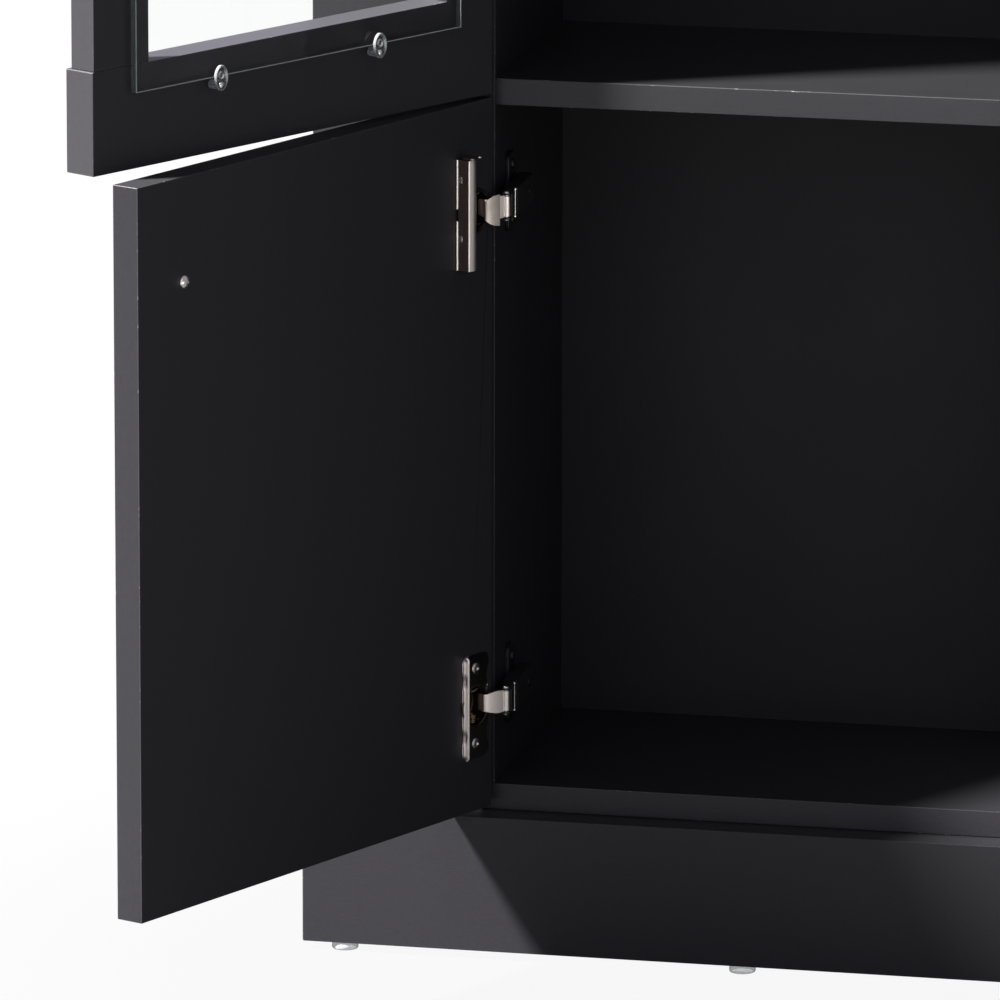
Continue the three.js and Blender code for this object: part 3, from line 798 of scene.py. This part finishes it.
    screw_head(f"{which}_{where}_depth_screw", 2.9 * mm, 1.0 * mm, org @ Matrix.Translation((12.3 * mm, 40.0 * mm, 0)) @ to_x, "root", "black_steel", 0.62, 36)


for which, where, z in PARTS:
    cup(which, where, z)
    hinge_side(which, where, z)


def hinge_spring():
    """Closing spring by each hinge's link, and the small levers in each pot."""
    for which, where, z in PARTS:
        body = f"{which}_door"
        coil = []
        turns, n = 4.2, 14
        for i in range(int(turns * n) + 1):
            a = 2 * math.pi * i / n
            coil.append((2.0 * math.cos(a), 2.0 * math.sin(a), -2.6 + 5.2 * i / (turns * n)))
        cu = bpy.data.curves.new(f"{which}_{where}_spring", "CURVE")
        cu.dimensions = "3D"
        cu.bevel_depth = 0.42 * mm
        cu.bevel_resolution = 3
        cu.resolution_u = 3
        sp = cu.splines.new("POLY")
        sp.points.add(len(coil) - 1)
        for p, c in zip(sp.points, coil):
            p.co = (c[0] * mm, c[2] * mm, c[1] * mm, 1)
        cu.use_fill_caps = True
        cu.materials.append(M["spring"])
        o = bpy.data.objects.new(f"{which}_{where}_spring", cu)
        SC.collection.objects.link(o)
        o.matrix_world = at_door(which, 15.2, -3.4, z - 8.2)
        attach(o, body)
        for k, (u, h, dz, w, l, ang) in enumerate(((14.4, -1.2, -8.9, 0.5, 3.7, 8.0), (13.4, -2.4, 8.75, 0.55, 3.4, -8.0))):
            lever = mesh_obj(f"{which}_{where}_lever_{k}", box_bm(-l * mm, l * mm, -w * mm, w * mm, -1.0 * mm, 0.4 * mm), "rivet" if k else "spring", 0)
            soften(lever, 0.2 * mm, 2, 40)
            lever.matrix_world = at_door(which, u, h, z + dz) @ Matrix.Rotation(math.radians(ang), 4, "Z")
            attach(lever, body)


hinge_spring()


def damper():
    """Soft-close housing: folded sheet with a crowned top, two pressed tabs, a foot notch and an end cap."""
    z0, z1 = 426.6, 493.2
    zc = (z0 + z1) / 2
    def outline(grow=0.0):
        pts = [(26.9 - grow, 0.5), (35.4 + grow, 0.5)]
        pts += arc(34.2 + grow, 8.7 + grow, 1.2, 0, 55, 5)
        pts += [(33.2, 10.05 + grow), (32.0, 10.42 + grow), (30.6, 10.45 + grow), (29.3, 10.1 + grow), (28.2, 9.3 + grow)]
        pts += [(27.4 - grow, 8.2), (26.9 - grow, 6.8)]
        return pts
    m = DOORS["lower"][0]
    def raised(bm):
        for v in bm.verts:
            v.co.x, v.co.y = v.co.x - 4.5 * mm, v.co.y + 9 * mm
        return bm
    o = mesh_obj("damper_housing", raised(prism_bm([(a * mm, b * mm) for a, b in outline()], z0 * mm, z1 * mm)), "brown_nickel", 28)
    notch = mesh_obj("notch", raised(box_bm(34.4 * mm, 37 * mm, -1 * mm, 1.6 * mm, 456.3 * mm, 463.4 * mm)), "brown_nickel", 0)
    holes = [mesh_obj(f"hole{k}", raised(box_bm(35.0 * mm, 37 * mm, 2.5 * mm, 4.3 * mm, (c - 2.0) * mm, (c + 2.0) * mm)), "brown_nickel", 0) for k, c in enumerate((445.7, 481.2))]
    cut(o, notch, *holes)
    soften(o, 0.22 * mm, 2, 35)
    # crowned top: painted highlight, the faces that look out of the door get the bright nickel in place of the brown
    # plating
    o.data.materials.append(M["nickel"])
    for p in o.data.polygons:
        if p.normal.y > 0.25 and abs(p.normal.z) < 0.3:
            p.material_index = 1
    o.matrix_world = m
    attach(o, "lower_door")
    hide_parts("lower_door_damper")
    for k, c in enumerate((445.7, 481.2)):
        t = mesh_obj(f"damper_tab_{k}", raised(box_bm(34.9 * mm, 35.55 * mm, 2.55 * mm, 4.25 * mm, (c - 1.95) * mm, (c + 1.95) * mm)), "rivet", 0)
        soften(t, 0.12 * mm, 2, 40)
        t.matrix_world = m
        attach(t, "lower_door")
    foot = mesh_obj("damper_foot", raised(prism_bm([(35.3 * mm, 0.25 * mm), (36.1 * mm, 0.25 * mm), (36.1 * mm, 1.0 * mm), (35.6 * mm, 1.35 * mm), (35.3 * mm, 1.35 * mm)], z0 * mm, z1 * mm)), "nickel", 40)
    cut(foot, mesh_obj("gap", raised(box_bm(34.4 * mm, 37 * mm, -1 * mm, 2.6 * mm, 456.3 * mm, 463.4 * mm)), "nickel", 0))
    soften(foot, 0.15 * mm, 2, 40)
    foot.matrix_world = m
    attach(foot, "lower_door")
    cap = mesh_obj("damper_cap", raised(prism_bm([(a * mm, b * mm) for a, b in [(27.2, 2.2), (33.6, 2.2), (34.2, 4.0), (34.2, 9.8), (33.0, 11.0), (29.0, 11.2), (27.2, 10.6), (26.4, 9.0)]], z1 * mm, (z1 + 1.5) * mm)), "brown_nickel", 30)
    soften(cap, 0.45 * mm, 3, 30)
    cap.matrix_world = m
    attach(cap, "lower_door")
    tip = mesh_obj("damper_tip", lathe_bm([(0, -0.4 * mm), (1.0 * mm, -0.4 * mm), (1.5 * mm, 0), (1.3 * mm, 0.6 * mm), (0.6 * mm, 0.95 * mm), (0, 1.0 * mm)], 24), "rivet", 40)
    tip.matrix_world = m @ Matrix.Translation(((26.2 - 4.5) * mm, (9 + 10.2) * mm, (z1 + 1.0) * mm))
    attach(tip, "lower_door")
    # cast plate over the top link
    turn = hinge_turn("lower", LOW_Z[1] - 1.6)
    path = smooth_path([(5.5, -13.1)] + LINK_PATH[1:7], 3)
    tall = []
    for x, _ in path:
        for (xa, ha), (xb, hb) in zip(((9.0, 9.4), (4.4, 9.4), (2.54, 9.0), (0.85, 8.1), (-0.61, 6.9), (-1.84, 6.0)), ((4.4, 9.4), (2.54, 9.0), (0.85, 8.1), (-0.61, 6.9), (-1.84, 6.0), (-4.0, 5.0))):
            if xb <= x <= xa:
                tall.append(hb + (ha - hb) * (x - xb) / (xa - xb))
                break
    plate = mesh_obj("damper_link_plate", strip([(x + 0.5, y - 0.6) for x, y in path], tall, 0.2), "cast", 40)
    soften(plate, 0.12 * mm, 2, 50)
    plate.matrix_world = turn
    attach(plate, "lower_links")


damper()


# ---------------------------------------------------------------- door knobs
def knobs():
    for which, u, z, inner in (("lower", 296.0, 464.0, 0.0), ("upper", 317.0, 900.0, -0.3)):
        prof = [(0.0, 0.35), (6.9, 0.35), (7.0, 0.8), (6.9, 1.9), (6.2, 3.0), (5.35, 4.2), (5.0, 6.0), (4.95, 9.5), (5.15, 12.0), (6.2, 14.3), (8.0, 16.2), (10.0, 17.4), (11.4, 18.6), (11.95, 20.2), (11.9, 21.8), (11.3, 23.2), (10.0, 24.1), (8.0, 24.45), (4.0, 24.6), (0.0, 24.6)]
        o = mesh_obj(f"{which}_knob", lathe_bm([(r * mm, h * mm) for r, h in prof], 72), "satin", 60)
        m, body = DOORS[which]
        # +Z of the turned shape looks out of the outer face
        o.data.transform(m @ Matrix(((1, 0, 0, (u - 4.5) * mm), (0, 0, -1, -9 * mm), (0, 1, 0, z * mm), (0, 0, 0, 1))))
        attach(o, body)
        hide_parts(f"{which}_door_knob")
        s = screw_head(f"{which}_knob_screw_head", 4.1 * mm, 2.6 * mm, at_door(which, u, inner + 0.05, z), body, "rivet", 0.62, 48)
        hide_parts(f"{which}_door_knob_screw")


knobs()


# ---------------------------------------------------------------- glass clips
def clips():
    gz0, gz1 = 572.2, 1350.3
    rows = [("bottom_outer", 242.0, gz0, 0, -1), ("bottom_inner", 107.4, gz0, 0, -1), ("top_outer", 242.0, gz1, 0, 1), ("top_inner", 107.4, gz1, 0, 1),
            ("free_side", 307.2, (gz0 + gz1) / 2, 1, 0), ("hinge_side", 31.6, (gz0 + gz1) / 2, -1, 0)]
    for name, u, z, du, dz in rows:
        u -= 1.2 if dz else 0.0
        slim = Matrix.Diagonal((0.68, 1.0, 1.0, 1.0)) if dz else Matrix.Diagonal((1.0, 0.68, 1.0, 1.0))
        disc = mesh_obj(f"clip_{name}_disc", lathe_bm([(0, 7.1 * mm), (6.4 * mm, 7.1 * mm), (6.8 * mm, 7.3 * mm), (6.8 * mm, 7.8 * mm), (6.4 * mm, 8.0 * mm), (0, 8.0 * mm)], 48), "clip", 50)
        rim = mesh_obj(f"clip_{name}_rim", ring_bm([(6.5 * mm, 6.9 * mm), (7.2 * mm, 6.9 * mm), (7.5 * mm, 7.2 * mm), (7.5 * mm, 8.6 * mm), (7.2 * mm, 8.9 * mm), (6.8 * mm, 8.9 * mm), (6.5 * mm, 8.6 * mm)], 48), "clip_rim", 50)
        hub = mesh_obj(f"clip_{name}_hub", ring_bm([(1.5 * mm, 8.0 * mm), (2.3 * mm, 7.9 * mm), (2.3 * mm, 8.5 * mm), (1.9 * mm, 8.8 * mm), (1.5 * mm, 8.5 * mm)], 32), "clip_rim", 50)
        for o in (disc, rim):
            o.data.transform(slim)
        cu, cz = u + du * 4.1, z + dz * 4.1
        boss = mesh_obj(f"clip_{name}_boss", ring_bm([(1.5 * mm, 0.35 * mm), (2.9 * mm, 0.35 * mm), (3.1 * mm, 0.6 * mm), (2.9 * mm, 3.2 * mm), (2.9 * mm, 7.0 * mm), (1.5 * mm, 7.0 * mm)], 32), "clip_rim", 50)
        for o, (x, y) in ((disc, (u, z)), (rim, (u, z)), (hub, (u + du * -1.6, z + dz * -1.6)), (boss, (cu, cz))):
            o.matrix_world = at_door("upper", x, 0, y)
            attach(o, "upper_door")
        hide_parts(f"glass_clip_{name}")
        screw_head(f"clip_{name}_screw", 2.0 * mm, 1.3 * mm, at_door("upper", cu, 7.9, cz), "upper_door", "rivet", 0.6, 28)
        shank = mesh_obj(f"clip_{name}_shank", lathe_bm([(0, -0.2 * mm), (0.9 * mm, -0.2 * mm), (1.2 * mm, 0.2 * mm), (1.2 * mm, 7.9 * mm), (0, 7.9 * mm)], 20), "steel", 40)
        shank.matrix_world = at_door("upper", cu, 0, cz)
        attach(shank, "upper_door")
    # ground arris along the inner border of the sheet
    u0, u1, z0, z1 = 31.6, 307.2, gz0, gz1
    w, lo_h, hi_h = 0.55, 3.7, 4.42
    for name, x0, x1, y0, y1 in (("bottom", u0, u1, z0 - 0.05, z0 + w), ("top", u0, u1, z1 - w, z1 + 0.05), ("free", u1 - w, u1 + 0.05, z0 + w, z1 - w), ("hinge", u0 - 0.05, u0 + w, z0 + w, z1 - w)):
        o = mesh_obj(f"glass_arris_{name}", box_bm((x0 - 4.5) * mm, (x1 - 4.5) * mm, (9 + lo_h) * mm, (9 + hi_h) * mm, y0 * mm, y1 * mm), "arris", 0)
        soften(o, 0.2 * mm, 2, 40)
        o.matrix_world = DOORS["upper"][0]
        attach(o, "upper_door")


clips()


# ------------------------------------------------------------------ frame joints
def frame_joints():
    """Foil that closes the narrow joint between each rail and stile of the upper door."""
    for k, z in enumerate((587.95, 1334.55)):
        for tag, u0, u1 in (("hinge", 0.9, 39.1), ("free", 292.2, 337.0)):
            o = mesh_obj(f"frame_joint_{tag}_{k}", box_bm((u0 - 4.5) * mm, (u1 - 4.5) * mm, -8.9 * mm, 8.62 * mm, (z - 0.2) * mm, (z + 0.2) * mm), "front_v", 0)
            soften(o, 0.05 * mm, 1, 40)
            o.matrix_world = DOORS["upper"][0]
            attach(o, "upper_door")


frame_joints()


# ------------------------------------------------------------- feet and fixings
def feet():
    for n in [x for x in N if x.startswith("glide_")]:
        lo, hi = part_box(n)
        c = (lo + hi) / 2
        prof = [(0, 0), (6.6, 0), (7.5, 0.25), (7.95, 0.9), (8.0, 1.6), (7.9, 3.3), (7.2, 4.2), (6.6, 4.5), (6.6, 4.95), (0, 4.95)]
        o = mesh_obj(n.replace("glide", "foot"), lathe_bm([(r * mm, h * mm) for r, h in prof], 48), "glide", 50)
        o.matrix_world = Matrix.Translation((c.x, c.y, 0.0))
        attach(o, "root")
        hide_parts(n)
    for side in ("left", "right"):
        lo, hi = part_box(f"wall_bracket_{side}")
        x = (lo.x + hi.x) / 2
        for k, d in enumerate((-8, 8)):
            screw_head(f"bracket_{side}_screw_{k}", 3.6 * mm, 2.2 * mm, Matrix.Translation((x + d * mm, 0.189, 1.4020)), "root", "rivet", 0.6, 36)
    for n in [x for x in N if x.startswith("shelf_peg")]:
        lo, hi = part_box(n)
        s = 1 if (lo.x + hi.x) > 0 else -1
        y, z = (lo.y + hi.y) / 2, (lo.z + hi.z) / 2
        prof = [(0, 0), (2.1, 0), (2.48, 0.45), (2.48, 6.6), (2.48, 14.6), (2.2, 15.0), (0, 15.0)]
        o = mesh_obj(n + "_pin", lathe_bm([(r * mm, h * mm) for r, h in prof], 32), "steel", 40)
        tip_x = s * 0.148
        o.matrix_world = Matrix.Translation((tip_x, y, z)) @ Matrix.Rotation(math.radians(90 * s), 4, "Y")
        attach(o, "root")
        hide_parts(n)


feet()


def back_pins():
    """Small pins along the back panel's border."""
    lo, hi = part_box("back_panel")
    spots = []
    for i in range(9):
        z = lo.z + 0.05 + (hi.z - lo.z - 0.10) * i / 8
        spots += [(-0.163, z), (0.163, z)]
    for i in range(5):
        x = lo.x + 0.04 + (hi.x - lo.x - 0.08) * i / 4
        spots += [(x, lo.z + 0.012), (x, hi.z - 0.012)]
    bm = bmesh.new()
    n = 16
    for x, z in spots:
        rings = []
        for r, h in ((1.9, 0.0), (1.9, 0.35), (1.3, 0.75), (0.6, 0.9)):
            rings.append([bm.verts.new((x + r * mm * math.cos(2 * math.pi * i / n), hi.y + h * mm, z + r * mm * math.sin(2 * math.pi * i / n))) for i in range(n)])
        for a, b in zip(rings, rings[1:]):
            for i in range(n):
                j = (i + 1) % n
                bm.faces.new((a[i], a[j], b[j], b[i]))
        bm.faces.new(rings[-1])
        bm.faces.new(rings[0][::-1])
    o = mesh_obj("back_pins", bm, "steel", 40)
    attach(o, "root")


back_pins()


# ---------------------------------------------------------------------- stage
# the floor's glow next to the plinth is lowered as painted shade
FLOOR_SEEN, FLOOR_GLOW_PAINTED_SHADE, FLOOR_BACK = 0.004, 0.925, 0.06
KEY, KEY_ANGLE, KEY_DIR, AMBIENT = 20.8, 6.0, (-2.1, -1.0, 2.72), 0.29
# soft patches of studio light: direction, cosine where it starts, cosine where it is full, strength
PATCHES = [((-0.25, -1.0, 0.20), 0.60, 0.97, 0.42)]
FILL_COLOUR = (1.0, 0.96, 1.12)
def make_floor():
    """Pale seamless floor: white to look at, and a quiet grey in what it throws back at the object."""
    me = bpy.data.meshes.new("floor")
    s = 60.0
    me.from_pydata([(-s, -s, 0), (s, -s, 0), (s, s, 0), (-s, s, 0)], [], [(0, 1, 2, 3)])
    o = bpy.data.objects.new("floor", me)
    SC.collection.objects.link(o)
    k = Net("pale_floor")
    w = k.coords((1, 1, 1))
    a = k.noise(w, 2.0, 2.0, 0.5)
    seen = k.n("BsdfDiffuse")
    k.l(k.mix(a, (FLOOR_SEEN,) * 3, (FLOOR_SEEN * 1.04,) * 3), seen.inputs["Color"])
    glow = k.n("Emission")
    # painted shade: the floor's glow is dimmed close to the plinth, white paper farther out
    away = k.n("VectorMath")
    away.operation = "DISTANCE"
    tc = k.n("TexCoord")
    k.l(tc.outputs["Object"], away.inputs[0])
    away.inputs[1].default_value = (0.10, 0.0, 0.0)
    k.l(k.rng(away.outputs["Value"], 0.42, 0.80, FLOOR_GLOW_PAINTED_SHADE, 1.0), glow.inputs["Strength"])
    both = k.n("AddShader")
    k.l(seen.outputs[0], both.inputs[0])
    k.l(glow.outputs[0], both.inputs[1])
    back = k.n("BsdfDiffuse")
    back.inputs["Color"].default_value = (FLOOR_BACK, FLOOR_BACK, FLOOR_BACK, 1)
    lp = k.n("LightPath")
    mx = k.n("MixShader")
    k.l(lp.outputs["Is Camera Ray"], mx.inputs[0])
    k.l(back.outputs[0], mx.inputs[1])
    k.l(both.outputs[0], mx.inputs[2])
    k.l(mx.outputs[0], k.out.inputs["Surface"])
    me.materials.append(k.m)


make_floor()


def make_lights():
    def sun(name, towards, strength, angle, colour=(1, 1, 1)):
        d = bpy.data.lights.new(name, "SUN")
        d.energy = strength
        d.angle = math.radians(angle)
        d.color = colour
        o = bpy.data.objects.new(name, d)
        SC.collection.objects.link(o)
        o.rotation_mode = "QUATERNION"
        o.rotation_quaternion = Vector(towards).to_track_quat("Z", "Y")
        o.location = Vector(towards) * 3
        return o

    sun("key", KEY_DIR, KEY, KEY_ANGLE)
    w = bpy.data.worlds.new("studio")
    SC.world = w
    w.use_nodes = True
    t = w.node_tree
    t.nodes.clear()
    out = t.nodes.new("ShaderNodeOutputWorld")
    geo = t.nodes.new("ShaderNodeTexCoord")

    def blob(direction, lo, hi, gain):
        """A soft bright patch of sky around a direction: gain between the two cosines."""
        d = Vector(direction).normalized()
        dot = t.nodes.new("ShaderNodeVectorMath")
        dot.operation = "DOT_PRODUCT"
        t.links.new(geo.outputs["Generated"], dot.inputs[0])
        dot.inputs[1].default_value = d
        r = t.nodes.new("ShaderNodeMapRange")
        r.interpolation_type = "SMOOTHSTEP"
        r.inputs["From Min"].default_value = lo
        r.inputs["From Max"].default_value = hi
        r.inputs["To Min"].default_value = 0.0
        r.inputs["To Max"].default_value = gain
        t.links.new(dot.outputs["Value"], r.inputs["Value"])
        return r.outputs["Result"]

    def add(a, b):
        x = t.nodes.new("ShaderNodeMath")
        x.operation = "ADD"
        for i, v in enumerate((a, b)):
            if isinstance(v, (int, float)):
                x.inputs[i].default_value = v
            else:
                t.links.new(v, x.inputs[i])
        return x.outputs[0]

    lit = AMBIENT
    for direction, lo, hi, gain in PATCHES:
        lit = add(lit, blob(direction, lo, hi, gain))
    bg = t.nodes.new("ShaderNodeBackground")
    bg.inputs["Color"].default_value = (*FILL_COLOUR, 1)
    t.links.new(lit, bg.inputs["Strength"])
    white = t.nodes.new("ShaderNodeBackground")
    white.inputs["Color"].default_value = (1, 1, 1, 1)
    white.inputs["Strength"].default_value = 1.0
    lp = t.nodes.new("ShaderNodeLightPath")
    m = t.nodes.new("ShaderNodeMath")
    m.operation = "MAXIMUM"
    t.links.new(lp.outputs["Is Camera Ray"], m.inputs[0])
    t.links.new(lp.outputs["Is Transmission Ray"], m.inputs[1])
    mx = t.nodes.new("ShaderNodeMixShader")
    t.links.new(m.outputs[0], mx.inputs[0])
    t.links.new(bg.outputs[0], mx.inputs[1])
    t.links.new(white.outputs[0], mx.inputs[2])
    t.links.new(mx.outputs[0], out.inputs["Surface"])


make_lights()


def make_cards():
    """White reflector cards on the floor, seen only in polished metal."""
    m = bpy.data.materials.new("reflector_card")
    m.use_nodes = True
    t = m.node_tree
    t.nodes.clear()
    out = t.nodes.new("ShaderNodeOutputMaterial")
    em = t.nodes.new("ShaderNodeEmission")
    em.inputs["Color"].default_value = (1.0, 0.975, 0.95, 1)
    em.inputs["Strength"].default_value = CARD
    t.links.new(em.outputs[0], out.inputs["Surface"])
    for name, x0, x1, y0, y1 in (("card_left", -6.0, -0.45, -3.6, -0.12), ("card_front", 0.35, 3.2, -3.4, -0.9)):
        me = bpy.data.meshes.new(name)
        me.from_pydata([(x0, y0, 0.0005), (x1, y0, 0.0005), (x1, y1, 0.0005), (x0, y1, 0.0005)], [], [(0, 1, 2, 3)])
        me.materials.append(m)
        o = bpy.data.objects.new(name, me)
        SC.collection.objects.link(o)
        o.visible_camera = o.visible_diffuse = o.visible_shadow = o.visible_transmission = o.visible_volume_scatter = False


CARD = 2.4
make_cards()


def plinth_batten():
    """Batten behind the plinth front that closes the slot under the bottom panel."""
    o = mesh_obj("plinth_batten", box_bm(-0.2498, 0.2498, 0.0081, 0.0300, 0.0690, 0.0879), "foil_h", 0)
    soften(o, 0.0004, 2, 40)
    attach(o, "root")


plinth_batten()
